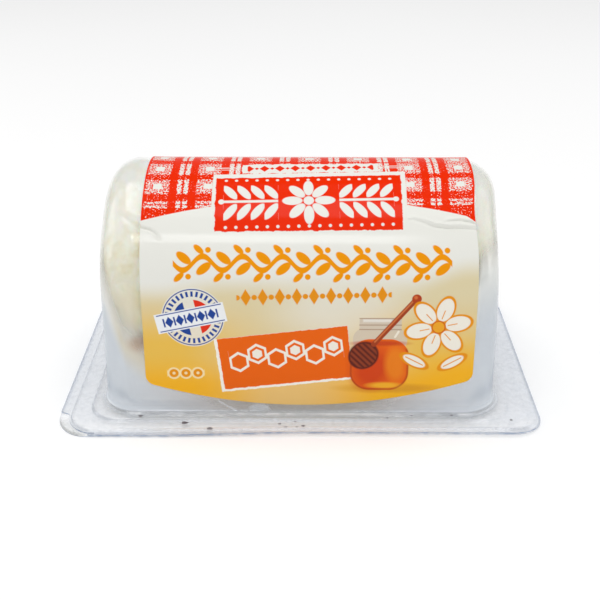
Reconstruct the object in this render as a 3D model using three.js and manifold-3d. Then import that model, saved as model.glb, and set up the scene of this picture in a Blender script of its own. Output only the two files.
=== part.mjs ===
// A small fresh goat cheese log in its clear shop pack, lying as it stands on a shelf.
// Four pieces: a formed clear cover with a stepped flange, the flat film sealed under it, the log
// inside, and a wrap label stuck over the arch. Millimetres, +Z up, X along the log, front at -Y.
// The origin is on the table, under the middle of the pack.
import * as THREE from "three";
import { mergeVertices } from "three/addons/utils/BufferGeometryUtils.js";
import Module from "manifold-3d";

// Driving dimensions
const SEAM = 0.08; // gap left between faces that are sealed or rest together
const SHEET = 0.3; // thickness of the formed cover
const FILM = 0.12; // thickness of the sealing film

const FLANGE = { halfLength: 45.8, halfDepth: 28.3, corner: 6 };
const SEAL_STEP = { halfLength: 43.7, halfDepth: 27.4, corner: 5.5, rise: 0.3 };
const SHELF_STEP = { halfLength: 40.3, halfDepth: 24.9, corner: 6, rise: 0.5 };
// The cover stops short of the front left corner, where the film is peeled off
const PEEL_CORNER = { reachX: 6.5, reachY: 7.1, margin: 0.4 };

const DOME = {
  halfLength: 37.6, // at its foot
  halfDepth: 22.1, // at its foot
  archRadius: 20.65,
  archHeight: 22.6, // of the arch's axis above the table
  edgeRadius: 6.5, // of the rounded edge between arch, walls and ends
  endLean: 0.01, // how far the ends lean in, for each millimetre of height
  footFillet: 1,
};

const LABEL = {
  halfWidth: 30.65,
  offset: 1.75, // it was stuck on a little to the right
  thickness: 0.15,
  hem: 0.68, // from the dome's foot up to the lowest point of its bowed edge
  hemRadius: 94,
  hemMiddle: -1.35, // where that point lies, from the label's middle
  corner: 1.4,
};

const LOG = {
  halfLength: 36.8,
  halfDepth: 20.05,
  halfHeight: 21.6,
  footDrop: 20.9, // the soft underside is pressed flat this far below the axis
  relief: 0.13,
  // Radius of the rounded ends, small at the top where they were pressed into the cover
  leftEnd: { top: 5.8, foot: 17 },
  rightEnd: { top: 5.8, foot: 12 },
  endFall: 3.2, // how late round the section the end's radius grows
};

// Mesh resolution
const CORNER_STEPS = 6;
const FILLET_STEPS = 3;
const WALL_STEPS = 3;
const ARCH_STEPS = 30;
const LABEL_COLUMNS = 8;
const LABEL_CORNER_STEPS = 4;
const LABEL_ROWS = 40;
const LOG_SIDES = 44;
const LOG_STATIONS = 24;
const LOG_END_STEPS = 6;
const LOG_CAP_STEPS = 3;

const QUARTER = Math.PI / 2;
const FLANGE_TOP = FILM + SEAM + SHEET;
const SEAL_TOP = FLANGE_TOP + SEAL_STEP.rise;
const SHELF_TOP = SEAL_TOP + SHELF_STEP.rise;
const DOME_FOOT = SHELF_TOP + DOME.footFillet;

const wasm = await Module();
wasm.setup();

// Collects triangles corner by corner, and leaves out those that have shrunk to a line.
class Faces {
  corners = [];

  triangle(a, b, c) {
    const same = (p, q) => p.every((value, axis) => Math.abs(value - q[axis]) < 1e-6);
    if (same(a, b) || same(b, c) || same(c, a)) return;
    this.corners.push(...a, ...b, ...c);
  }

  quad(a, b, c, d) {
    this.triangle(a, b, c);
    this.triangle(a, c, d);
  }

  // A band between two rows of points, closed round if the rows are rings.
  band(lower, upper, closed) {
    const last = closed ? lower.length : lower.length - 1;
    for (let i = 0; i < last; i++) {
      const next = (i + 1) % lower.length;
      this.quad(lower[i], lower[next], upper[next], upper[i]);
    }
  }

  // Adds other's triangles with their faces turned round.
  addReversed(other) {
    for (let i = 0; i < other.corners.length; i += 9) {
      const [a, b, c] = [0, 3, 6].map((k) => other.corners.slice(i + k, i + k + 3));
      this.triangle(a, c, b);
    }
  }

  geometry() {
    const loose = new THREE.BufferGeometry();
    loose.setAttribute("position", new THREE.Float32BufferAttribute(this.corners, 3));
    const merged = mergeVertices(loose, 1e-4);
    merged.computeVertexNormals();
    return merged;
  }
}

// Boolean helpers
function toSolid(geometry) {
  const bare = geometry.clone();
  bare.deleteAttribute("normal");
  bare.deleteAttribute("uv");
  const merged = mergeVertices(bare, 1e-4);
  return new wasm.Manifold(
    new wasm.Mesh({
      numProp: 3,
      vertProperties: merged.attributes.position.array,
      triVerts: new Uint32Array(merged.index.array),
    }),
  );
}

function toGeometry(solid) {
  const mesh = solid.getMesh();
  const geometry = new THREE.BufferGeometry();
  geometry.setAttribute("position", new THREE.BufferAttribute(mesh.vertProperties, 3));
  geometry.setIndex(new THREE.BufferAttribute(mesh.triVerts, 1));
  geometry.computeVertexNormals();
  return geometry;
}

// Stations along the length: x, and how far a section there is drawn in by the rounded end edge.
function stations(halfLength, corner) {
  const right = [];
  for (let k = 0; k <= CORNER_STEPS; k++) {
    const angle = (k / CORNER_STEPS) * QUARTER;
    right.push({
      x: halfLength - corner + corner * Math.sin(angle),
      inset: corner * (1 - Math.cos(angle)),
    });
  }
  const left = right.map(({ x, inset }) => ({ x: -x, inset })).reverse();
  return [...left, ...right];
}

// A rounded rectangle as one closed row of points, front side first.
function planRing(halfLength, halfDepth, corner, z) {
  const front = stations(halfLength, corner).map(({ x, inset }) => [x, inset - halfDepth, z]);
  const back = front.map(([x, y]) => [x, -y, z]).reverse();
  return [...front, ...back];
}

// Half the dome's depth at height z below the arch: the walls lean out towards the foot.
function wallDepth(z) {
  const share = (DOME.archHeight - z) / (DOME.archHeight - DOME_FOOT);
  return DOME.archRadius + (DOME.halfDepth - DOME.archRadius) * share;
}

// The dome's section, from the front foot over the arch to the back foot, drawn in by inset.
function domeSection(inset) {
  const front = [];
  for (let k = 0; k < WALL_STEPS; k++) {
    const z = DOME_FOOT + ((DOME.archHeight - DOME_FOOT) * k) / WALL_STEPS;
    front.push([inset - wallDepth(z), z]);
  }
  const back = front.map(([y, z]) => [-y, z]).reverse();
  const radius = DOME.archRadius - inset;
  const arch = [];
  for (let k = 0; k <= ARCH_STEPS; k++) {
    const angle = (k / ARCH_STEPS) * Math.PI;
    arch.push([-radius * Math.cos(angle), DOME.archHeight + radius * Math.sin(angle)]);
  }
  return [...front, ...arch, ...back];
}

// One face of the formed sheet, depth under its outer face: the flange's steps, which slope at 45
// degrees, as rings, then the dome as a row of sections with a flat wall at each end.
function sheetFace(depth) {
  const stepShift = depth * Math.tan(Math.PI / 8);
  const step = ({ halfLength, halfDepth, corner, rise }, low) =>
    [0, rise].map((height) => {
      const drawnIn = height + stepShift;
      const z = low + height - depth;
      return planRing(halfLength - drawnIn, halfDepth - drawnIn, corner - drawnIn, z);
    });
  const rings = [
    planRing(FLANGE.halfLength, FLANGE.halfDepth, FLANGE.corner, FLANGE_TOP - depth),
    ...step(SEAL_STEP, FLANGE_TOP),
    ...step(SHELF_STEP, SEAL_TOP),
  ];
  for (let k = 0; k <= FILLET_STEPS; k++) {
    const angle = (k / FILLET_STEPS) * QUARTER;
    const reach = DOME.footFillet - (DOME.footFillet + depth) * Math.sin(angle);
    const z = DOME_FOOT - (DOME.footFillet + depth) * Math.cos(angle);
    rings.push(
      planRing(DOME.halfLength + reach, DOME.halfDepth + reach, DOME.edgeRadius + reach, z),
    );
  }
  const sections = stations(DOME.halfLength - depth, DOME.edgeRadius - depth).map(
    ({ x, inset }) =>
      domeSection(inset + depth).map(([y, z]) => {
        const lean = 1 - (DOME.endLean * (z - DOME_FOOT)) / DOME.halfLength;
        return [x * lean, y, z];
      }),
  );

  const faces = new Faces();
  for (let i = 1; i < rings.length; i++) faces.band(rings[i - 1], rings[i], true);
  for (let i = 1; i < sections.length; i++) faces.band(sections[i], sections[i - 1], false);
  endWall(faces, sections[0]);
  endWall(faces, [...sections[sections.length - 1]].reverse());
  return { faces, rim: rings[0] };
}

// Fills one end of the dome with level strips from its front edge to its back edge.
function endWall(faces, section) {
  const last = section.length - 1;
  for (let k = 0; k < last / 2 - 1; k++) {
    faces.quad(section[last - k], section[k], section[k + 1], section[last - k - 1]);
  }
  const top = Math.floor(last / 2);
  if (last % 2 === 0) faces.triangle(section[top + 1], section[top - 1], section[top]);
}

function roundedPlan(halfLength, halfDepth, corner) {
  const shape = new THREE.Shape();
  const right = halfLength - corner;
  const back = halfDepth - corner;
  shape.absarc(right, -back, corner, -QUARTER, 0);
  shape.absarc(right, back, corner, 0, QUARTER);
  shape.absarc(-right, back, corner, QUARTER, 2 * QUARTER);
  shape.absarc(-right, -back, corner, 2 * QUARTER, 3 * QUARTER);
  return shape;
}

// What is cut from the cover's front left corner: all but a narrow margin round the seal step.
function peelCut() {
  const { reachX, reachY, margin } = PEEL_CORNER;
  const left = -SEAL_STEP.halfLength - margin;
  const front = -SEAL_STEP.halfDepth - margin;
  const radius = SEAL_STEP.corner + margin;
  const outerLeft = -FLANGE.halfLength;
  const outerFront = -FLANGE.halfDepth;
  const shape = new THREE.Shape();
  shape.moveTo(outerLeft - 1, outerFront - 1);
  shape.lineTo(outerLeft + reachX, outerFront - 1);
  shape.lineTo(outerLeft + reachX, front);
  shape.absarc(left + radius, front + radius, radius, 3 * QUARTER, 2 * QUARTER, true);
  shape.lineTo(left, outerFront + reachY);
  shape.lineTo(outerLeft - 1, outerFront + reachY);
  return new THREE.ExtrudeGeometry(shape, {
    depth: SHELF_TOP,
    bevelEnabled: false,
    curveSegments: 8,
  });
}

function coverGeometry() {
  const outer = sheetFace(0);
  const inner = sheetFace(SHEET);
  const faces = outer.faces;
  faces.band(inner.rim, outer.rim, true);
  faces.addReversed(inner.faces);
  return toGeometry(toSolid(faces.geometry()).subtract(toSolid(peelCut())));
}

function filmGeometry() {
  const plan = roundedPlan(FLANGE.halfLength, FLANGE.halfDepth, FLANGE.corner);
  return new THREE.ExtrudeGeometry(plan, {
    depth: FILM,
    bevelEnabled: false,
    curveSegments: CORNER_STEPS,
  });
}

// Arc lengths along the dome's outer section, from the front foot.
const WALL_RUN = Math.hypot(DOME.archHeight - DOME_FOOT, DOME.halfDepth - DOME.archRadius);
const SECTION_RUN = 2 * WALL_RUN + Math.PI * DOME.archRadius;

// The point (y, z) at arc length run along the dome's section, lifted off it.
function overDome(run, lift) {
  if (run > SECTION_RUN / 2) {
    const [y, z] = overDome(SECTION_RUN - run, lift);
    return [-y, z];
  }
  if (run < WALL_RUN) {
    const z = DOME_FOOT + ((DOME.archHeight - DOME_FOOT) * run) / WALL_RUN;
    return [-wallDepth(z) - lift, z];
  }
  const angle = (run - WALL_RUN) / DOME.archRadius;
  const radius = DOME.archRadius + lift;
  return [-radius * Math.cos(angle), DOME.archHeight + radius * Math.sin(angle)];
}

// Arc length of the label's lower edge at x from its middle: a shallow bow with rounded corners.
function labelHem(x) {
  const bow = LABEL.hem + (x - LABEL.hemMiddle) ** 2 / (2 * LABEL.hemRadius);
  const past = Math.max(0, Math.abs(x) - (LABEL.halfWidth - LABEL.corner));
  return bow + LABEL.corner - Math.sqrt(Math.max(0, LABEL.corner ** 2 - past ** 2));
}

function labelGeometry() {
  const straight = LABEL.halfWidth - LABEL.corner;
  const columns = [];
  for (let k = 0; k <= LABEL_COLUMNS; k++) {
    columns.push(-straight + (2 * straight * k) / LABEL_COLUMNS);
  }
  for (let k = 1; k <= LABEL_CORNER_STEPS; k++) {
    const x = straight + LABEL.corner * Math.sin((k / LABEL_CORNER_STEPS) * QUARTER);
    columns.push(x);
    columns.unshift(-x);
  }
  const face = (lift) =>
    columns.map((x) => {
      const hem = labelHem(x);
      const column = [];
      for (let k = 0; k <= LABEL_ROWS; k++) {
        const run = hem + ((SECTION_RUN - 2 * hem) * k) / LABEL_ROWS;
        column.push([x + LABEL.offset, ...overDome(run, lift)]);
      }
      return column;
    });
  const under = face(SEAM);
  const over = face(SEAM + LABEL.thickness);
  const last = columns.length - 1;
  const rowOf = (columnsOfPoints, k) => columnsOfPoints.map((column) => column[k]);

  const faces = new Faces();
  for (let i = 0; i < last; i++) {
    faces.band(over[i + 1], over[i], false);
    faces.band(under[i], under[i + 1], false);
  }
  faces.band(over[0], under[0], false);
  faces.band(under[last], over[last], false);
  faces.band(rowOf(under, 0), rowOf(over, 0), false);
  faces.band(rowOf(over, LABEL_ROWS), rowOf(under, LABEL_ROWS), false);
  return faces.geometry();
}

// Uneven skin of the pressed curd, as a share from -1 to 1: a few waves that don't line up.
function curdWave(x, angle) {
  const lumps = Math.sin(0.31 * x + 3 * angle + 1.3) + Math.sin(0.47 * x - 5 * angle + 0.4);
  const creases = Math.sin(0.9 * x + 7 * angle) * Math.sin(0.23 * x - 2 * angle + 2.1);
  return (lumps + creases) / 3;
}

// Radius of a rounded end of the log at an angle round its axis, 0 at the back.
function endRadius({ top, foot }, angle) {
  return top + (foot - top) * ((1 - Math.sin(angle)) / 2) ** LOG.endFall;
}

// The outline of one end at one angle, from its middle to where the side starts: how far in from
// the end's face, and the share of the full section reached there.
function endOutline(radius) {
  const flat = 1 - radius / LOG.halfDepth;
  const outline = [];
  for (let k = 0; k < LOG_CAP_STEPS; k++) {
    outline.push({ inward: 0, share: (flat * k) / LOG_CAP_STEPS });
  }
  for (let k = 0; k <= LOG_END_STEPS; k++) {
    const turn = (k / LOG_END_STEPS) * QUARTER;
    const share = flat + (1 - flat) * Math.sin(turn);
    outline.push({ inward: radius * (1 - Math.cos(turn)), share });
  }
  return outline;
}

// The log's outline at one angle, from the middle of its left end to the middle of its right end.
function logOutline(angle) {
  const leftRadius = endRadius(LOG.leftEnd, angle);
  const rightRadius = endRadius(LOG.rightEnd, angle);
  const start = leftRadius - LOG.halfLength;
  const run = LOG.halfLength - rightRadius - start;
  const left = endOutline(leftRadius).map(({ inward, share }) => {
    return { x: inward - LOG.halfLength, share };
  });
  const right = endOutline(rightRadius).map(({ inward, share }) => {
    return { x: LOG.halfLength - inward, share };
  });
  const side = [];
  for (let k = 1; k < LOG_STATIONS; k++) {
    side.push({ x: start + (run * k) / LOG_STATIONS, share: 1 });
  }
  return [...left, ...side, ...right.reverse()];
}

function logGeometry() {
  const axisHeight = FILM + SEAM + LOG.footDrop;
  const strips = [];
  for (let k = 0; k < LOG_SIDES; k++) {
    const angle = (k / LOG_SIDES) * 2 * Math.PI;
    const strip = logOutline(angle).map(({ x, share }) => {
      const swell = LOG.relief * curdWave(x, angle);
      const bulge = Math.sign(x) * swell * 4 * share * (1 - share);
      const y = (LOG.halfDepth + swell) * share * Math.cos(angle);
      const drop = (LOG.halfHeight + swell) * share * Math.sin(angle);
      const z = axisHeight + Math.max(drop, -LOG.footDrop);
      return [x + bulge, y, z];
    });
    strips.push(strip);
  }
  const ring = (station) => strips.map((strip) => strip[station]);
  const faces = new Faces();
  for (let station = 1; station < strips[0].length; station++) {
    faces.band(ring(station - 1), ring(station), true);
  }
  return faces.geometry();
}

// Finishes
const clearSheet = new THREE.MeshStandardMaterial({
  color: 0xdfe5ea,
  roughness: 0.12,
  metalness: 0,
  transparent: true,
  opacity: 0.35,
});
const sealFilm = new THREE.MeshStandardMaterial({
  color: 0xe4e8ea,
  roughness: 0.2,
  metalness: 0,
  transparent: true,
  opacity: 0.5,
});
const freshCurd = new THREE.MeshStandardMaterial({ color: 0xe9e6d6, roughness: 0.7, metalness: 0 });
const labelPaper = new THREE.MeshStandardMaterial({
  color: 0xe8c585,
  roughness: 0.35,
  metalness: 0,
});

function named(name, geometry, material) {
  const mesh = new THREE.Mesh(geometry, material);
  mesh.name = name;
  return mesh;
}

const pack = new THREE.Group();
pack.add(named("clear_cover", coverGeometry(), clearSheet));
pack.add(named("base_film", filmGeometry(), sealFilm));
pack.add(named("cheese_log", logGeometry(), freshCurd));
pack.add(named("wrap_label", labelGeometry(), labelPaper));

export default pack;
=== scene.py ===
"""A small fresh goat cheese log in its clear shop pack, dressed over its CAD frame.

Lengths are in millimetres until a mesh is made, then metres. X runs along the log, the front is
at -Y, and the origin is on the table under the middle of the pack.
"""

import math

import bpy
import numpy as np
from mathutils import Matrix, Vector, noise
from mathutils.bvhtree import BVHTree


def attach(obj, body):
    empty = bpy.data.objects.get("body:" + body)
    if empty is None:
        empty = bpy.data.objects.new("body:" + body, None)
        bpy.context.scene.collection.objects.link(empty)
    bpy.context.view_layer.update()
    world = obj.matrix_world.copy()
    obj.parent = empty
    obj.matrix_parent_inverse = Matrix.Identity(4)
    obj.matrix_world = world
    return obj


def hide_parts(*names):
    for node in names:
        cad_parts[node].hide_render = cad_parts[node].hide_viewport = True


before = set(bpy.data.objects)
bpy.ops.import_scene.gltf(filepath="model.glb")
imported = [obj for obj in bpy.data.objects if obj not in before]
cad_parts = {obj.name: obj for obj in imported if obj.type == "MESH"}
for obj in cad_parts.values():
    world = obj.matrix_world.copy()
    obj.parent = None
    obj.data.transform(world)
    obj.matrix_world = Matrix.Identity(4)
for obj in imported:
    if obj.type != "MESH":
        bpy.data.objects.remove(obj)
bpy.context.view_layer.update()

MM = 0.001
QUARTER = math.pi / 2

# Sizes shared with the CAD source
SEAM = 0.08
SHEET = 0.3
FILM = 0.12
FLANGE = (45.8, 28.3, 6.0)  # half length, half depth, corner radius
SEAL_STEP = (43.7, 27.4, 5.5)
SEAL_RISE = 0.3
SHELF_STEP = (40.3, 24.9, 6.0)
SHELF_RISE = 0.5
STEP_FOOT = 0.12  # how far a step's foot lies outside its plan
STEP_DRAFT = 1.5
PEEL_REACH_X = 6.5
PEEL_REACH_Y = 7.1
PEEL_MARGIN = 0.4
DOME_HALF_LENGTH = 37.6
DOME_HALF_DEPTH = 22.1
ARCH_RADIUS = 20.65
ARCH_HEIGHT = 22.6
EDGE_RADIUS = 6.5
DOME_PLAN = (DOME_HALF_LENGTH, DOME_HALF_DEPTH, EDGE_RADIUS)
END_LEAN = 0.01
FOOT_FILLET = 1.0
LABEL_HALF_WIDTH = 30.65
LABEL_OFFSET = 1.75
LABEL_THICKNESS = 0.15
LABEL_HEM = 0.68
LABEL_HEM_RADIUS = 94.0
LABEL_HEM_MIDDLE = -1.35
LABEL_CORNER = 1.4
LOG_HALF_LENGTH = 36.8
LOG_HALF_DEPTH = 20.05
LOG_HALF_HEIGHT = 21.6
LOG_FOOT_DROP = 20.9
LOG_RELIEF = 0.13
LOG_LEFT_END = (5.8, 17.0)  # radius of the rounded end at its top and at its foot
LOG_RIGHT_END = (5.8, 12.0)
LOG_END_FALL = 3.2
CURD_LUMPS = 0.13
CURD_GRAINS = 0.06
CURD_FOLDS = 0.3

FLANGE_TOP = FILM + SEAM + SHEET
SEAL_TOP = FLANGE_TOP + SEAL_RISE
SHELF_TOP = SEAL_TOP + SHELF_RISE
DOME_FOOT = SHELF_TOP + FOOT_FILLET
WALL_RISE = ARCH_HEIGHT - DOME_FOOT
WALL_RUN = math.hypot(WALL_RISE, DOME_HALF_DEPTH - ARCH_RADIUS)
SECTION_RUN = 2 * WALL_RUN + math.pi * ARCH_RADIUS

# Mesh resolution
CORNER_STEPS = 14
FRONT_STEPS = 130
END_STEPS = 40
WALL_STEPS = 26
ARCH_STEPS = 150
FILLET_STEPS = 6
STEP_RINGS = 5
LOG_SIDES = 200
LOG_CAP_COLUMNS = 14
LOG_TURN_COLUMNS = 26
LOG_MIDDLE_COLUMNS = 84
LABEL_COLUMNS = 160
WELD = 0.002


# Mesh building
def add_object(name, data):
    made = bpy.data.objects.new(name, data)
    bpy.context.scene.collection.objects.link(made)
    return made


class Skin:
    """Patches of points that weld into one closed mesh."""

    def __init__(self):
        self.points = []
        self.quads = []
        self.maps = []
        self.finishes = []
        self.count = 0

    def patch(self, points, uv=None, finish=0, flip=False):
        """Adds a grid, rows by columns. It faces the side that columns cross rows point to."""
        points = np.asarray(points, float)
        rows, columns = points.shape[:2]
        index = self.count + np.arange(rows * columns).reshape(rows, columns)
        corners = (index[:-1, :-1], index[:-1, 1:], index[1:, 1:], index[1:, :-1])
        quads = np.stack(corners, axis=-1).reshape(-1, 4)
        self.quads.append(quads[:, ::-1] if flip else quads)
        self.finishes.append(np.full(len(quads), finish))
        self.points.append(points.reshape(-1, 3))
        if uv is None:
            uv = np.zeros((rows, columns, 4))
        self.maps.append(np.asarray(uv, float).reshape(-1, 4))
        self.count += rows * columns

    def build(self, name, materials, map_names=(), sharp=35):
        """Makes the welded mesh; map_names name the two UV maps that the patches carry."""
        points = np.concatenate(self.points)
        keys = np.round(points / WELD).astype(np.int64)
        _, first, welded = np.unique(keys, axis=0, return_index=True, return_inverse=True)
        welded = welded.reshape(-1)
        faces, sources, finishes = [], [], []
        all_quads = np.concatenate(self.quads)
        for quad, finish in zip(all_quads.tolist(), np.concatenate(self.finishes).tolist()):
            kept = [i for k, i in enumerate(quad) if welded[i] != welded[quad[k - 1]]]
            if len(kept) < 3 or len({int(welded[i]) for i in kept}) < len(kept):
                continue
            faces.append([int(welded[i]) for i in kept])
            sources.extend(kept)
            finishes.append(finish)
        mesh = bpy.data.meshes.new(name)
        mesh.from_pydata((points[first] * MM).tolist(), [], faces)
        for material in materials:
            mesh.materials.append(material)
        mesh.polygons.foreach_set("material_index", finishes)
        maps = np.concatenate(self.maps)[sources]
        for k, map_name in enumerate(map_names):
            layer = mesh.uv_layers.new(name=map_name)
            layer.data.foreach_set("uv", maps[:, 2 * k : 2 * k + 2].reshape(-1))
        mesh.shade_smooth()
        mesh.set_sharp_from_angle(angle=math.radians(sharp))
        mesh.update()
        return add_object(name, mesh)


def shares_with_notch(steps, notch):
    """Even shares of a straight side, with a pair of columns at the notch."""
    return np.sort(np.concatenate([np.linspace(0, 1, steps + 1), [notch, notch]]))


FRONT_NOTCH = (PEEL_REACH_X - FLANGE[2]) / (2 * (FLANGE[0] - FLANGE[2]))
LEFT_NOTCH = 1 - (PEEL_REACH_Y - FLANGE[2]) / (2 * (FLANGE[1] - FLANGE[2]))
FRONT_SHARES = shares_with_notch(FRONT_STEPS, FRONT_NOTCH)
LEFT_SHARES = shares_with_notch(END_STEPS, LEFT_NOTCH)
RIGHT_SHARES = 1 - LEFT_SHARES[::-1]


def stations(half_length, corner):
    """Columns along the length: x, and how far each is drawn in by the rounded end edge."""
    turn = np.linspace(0, QUARTER, CORNER_STEPS + 1)
    past = corner * np.sin(turn)
    inset = corner * (1 - np.cos(turn))
    straight = half_length - corner
    middle = straight * (2 * FRONT_SHARES[1:-1] - 1)
    x = np.concatenate([-straight - past[::-1], middle, straight + past])
    return x, np.concatenate([inset[::-1], np.zeros(len(middle)), inset])


def plan_ring(plan, z, grow=0.0):
    """A rounded rectangle, anticlockwise from the left end of its front, closed."""
    half_length, half_depth, corner = (value + grow for value in plan)
    x, drawn = stations(half_length, corner)
    front = np.stack([x, drawn - half_depth], axis=1)
    back = (front * (1, -1))[::-1]

    def side(x, share):
        return np.stack([np.full(len(share), x), (half_depth - corner) * share], axis=1)

    right = side(half_length, 2 * RIGHT_SHARES[1:-1] - 1)
    left = side(-half_length, 1 - 2 * LEFT_SHARES[1:-1])
    ring = np.concatenate([front, right, back, left, front[:1]])
    return np.column_stack([ring, np.full(len(ring), z)])


def trimmed_rim(z):
    """The cover's outer edge, which stops short of the peeled front left corner."""
    rim = plan_ring(FLANGE, z)
    margin = plan_ring(SEAL_STEP, z, PEEL_MARGIN)
    column = CORNER_STEPS + 1
    rim[:column] = margin[:column]
    rim[-2:] = margin[0]
    radius = SEAL_STEP[2] + PEEL_MARGIN
    centre_x = -SEAL_STEP[0] + SEAL_STEP[2]
    centre_y = -SEAL_STEP[1] + SEAL_STEP[2]
    past = min(0.0, rim[column][0] - centre_x)
    rim[column][1] = centre_y - math.sqrt(radius**2 - past**2)
    return rim


def wall_depth(z):
    share = (ARCH_HEIGHT - z) / WALL_RISE
    return ARCH_RADIUS + (DOME_HALF_DEPTH - ARCH_RADIUS) * share


def dome_section(inset):
    """(y, z) from the front foot over the arch to the back foot, drawn in by inset."""
    z = np.linspace(DOME_FOOT, ARCH_HEIGHT, WALL_STEPS + 1)[:-1]
    front = np.stack([inset - wall_depth(z), z], axis=1)
    turn = np.linspace(0, math.pi, ARCH_STEPS + 1)
    radius = ARCH_RADIUS - inset
    arch = np.stack([-radius * np.cos(turn), ARCH_HEIGHT + radius * np.sin(turn)], axis=1)
    return np.concatenate([front, arch, (front * (-1, 1))[::-1]])


def over_dome(run, lift):
    """(y, z) at arc length run from the front foot, lifted off the dome."""
    near = np.minimum(run, SECTION_RUN - run)
    side = np.where(run > SECTION_RUN / 2, -1.0, 1.0)
    wall_z = DOME_FOOT + WALL_RISE * near / WALL_RUN
    angle = (near - WALL_RUN) / ARCH_RADIUS
    radius = ARCH_RADIUS + lift
    on_wall = near < WALL_RUN
    y = np.where(on_wall, -wall_depth(wall_z) - lift, -radius * np.cos(angle))
    z = np.where(on_wall, wall_z, ARCH_HEIGHT + radius * np.sin(angle))
    return side * y, z


def run_of(points):
    """Arc length from the front foot at which points lie round the dome's section."""
    y, z = points[..., 1], points[..., 2]
    height = z - ARCH_HEIGHT
    arch = WALL_RUN + ARCH_RADIUS * np.arctan2(np.maximum(height, 0), -y)
    wall = WALL_RUN * (z - DOME_FOOT) / WALL_RISE
    wall = np.where(y < 0, wall, SECTION_RUN - wall)
    return np.where(height > 0, arch, wall)


# Dents and creases, shared by all the pieces that they pass through
DENTS = (
    # centre, push and spread of each soft dent
    ((37.2, -2.0, 40.5), (0.55, 0.0, 0.25), (5.0, 16.0, 2.8)),
    ((38.0, -6.0, 30.5), (-0.58, 0.15, 0.0), (6.0, 14.0, 8.5)),
    ((-34.0, -3.0, 42.0), (0.0, 0.0, 0.5), (4.5, 15.0, 4.0)),
    ((-38.0, -6.0, 34.5), (0.15, 0.0, 0.0), (6.0, 14.0, 4.0)),
)
LEFT_CREASE = (
    (-33.4, 39.0), (-31.8, 37.5), (-30.3, 36.3), (-28.8, 35.4),
    (-27.2, 35.0), (-26.2, 34.3), (-25.5, 33.2),
)
RIGHT_CREASE = (
    (20.6, 37.0), (22.6, 36.4), (24.2, 35.7), (26.5, 35.4),
    (29.4, 35.4), (31.4, 35.2), (33.6, 34.4),
)
RIGHT_FOLD = ((26.8, 36.7), (29.0, 36.9), (31.0, 36.5), (32.4, 35.7), (33.6, 34.9))
CREASES = (
    # path in (x, run), depth and width of its valley, height, offset and width of its swell
    (LEFT_CREASE, 0.42, 0.26, 0.0, 1.6, 1.3),
    (RIGHT_CREASE, 0.2, 0.2, 0.4, 0.6, 0.34),
    (RIGHT_FOLD, 0.16, 0.15, 0.2, 0.4, 0.24),
)
UNDER_DEEPER = 0.06  # the cover's and the log's valleys clear the label's
UNDER_WIDER = 0.3
CREASE_FADE = 3.0  # over this length the creases run out before the dome's ends
LABEL_LEFT = LABEL_OFFSET - LABEL_HALF_WIDTH
TUCK_DRAW = 0.66  # how far the label's right edge is drawn in beside the right crease
TUCK_RUN = 39.0
TUCK_SPREAD = 6.0
CURL_START = 23.5  # depth at which the flange's front edge starts to curl
CURL_SPAN = 4.8
CURL_LIFT = 0.45
CURL_REACH = 0.65


def path_distance(x, run, path):
    """Signed distance to a path, positive above it, and the share of its length."""
    best = np.full(x.shape, np.inf)
    signed, share = np.zeros(x.shape), np.zeros(x.shape)
    for k, ((ax, ay), (bx, by)) in enumerate(zip(path, path[1:])):
        dx, dy = bx - ax, by - ay
        along = np.clip(((x - ax) * dx + (run - ay) * dy) / (dx * dx + dy * dy), 0, 1)
        away_x, away_y = x - ax - along * dx, run - ay - along * dy
        distance = np.hypot(away_x, away_y)
        side = np.sign(away_y * dx - away_x * dy)
        nearer = distance < best
        best = np.where(nearer, distance, best)
        signed = np.where(nearer, side * distance, signed)
        share = np.where(nearer, (k + along) / (len(path) - 1), share)
    return signed, share


def outward(points):
    """Unit vectors from the log's axis, level beside the walls."""
    direction = np.zeros(points.shape)
    direction[..., 1] = points[..., 1]
    direction[..., 2] = np.maximum(points[..., 2] - ARCH_HEIGHT, 0)
    length = np.linalg.norm(direction, axis=-1, keepdims=True)
    return direction / np.maximum(length, 1e-6)


def dented(points, under=0):
    """How far dents and creases move points; under is 1 for the cover and the log."""
    shift = np.zeros(points.shape)
    for centre, push, spread in DENTS:
        away = (points - centre) / spread
        shift += np.exp(-(away**2).sum(axis=-1))[..., None] * push
    run = run_of(points)
    x = points[..., 0]
    fade = np.clip((DOME_HALF_LENGTH - 1 - np.abs(x)) / CREASE_FADE, 0, 1)
    wider = UNDER_WIDER * under * np.clip((x - LABEL_LEFT + 1.1) / 1.2, 0, 1)
    height = np.zeros(x.shape)
    for path, depth, width, swell, offset, swell_width in CREASES:
        signed, share = path_distance(x, run, path)
        taper = np.sin(np.pi * np.clip(share * 0.9 + 0.08, 0, 1)) ** 0.6
        valley = -(depth + UNDER_DEEPER * under) * np.exp(-((signed / (width + wider)) ** 2))
        ridge = (1 - under) * swell * np.exp(-(((signed - offset) / swell_width) ** 2))
        height += taper * (valley + ridge)
    return shift + (height * fade)[..., None] * outward(points)


def flange_warp(points):
    """The thin flange's front edge curls up a little, and runs out at its left end."""
    x, y = points[..., 0], points[..., 1]
    strip = np.clip((-y - CURL_START) / CURL_SPAN, 0, 1) ** 1.4
    shift = np.zeros(points.shape)
    shift[..., 1] = -CURL_REACH * strip * np.clip((2 - x) / 26, 0, 1)
    shift[..., 2] = CURL_LIFT * strip * np.clip((x + 27) / 22, 0, 1)
    return shift


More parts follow.
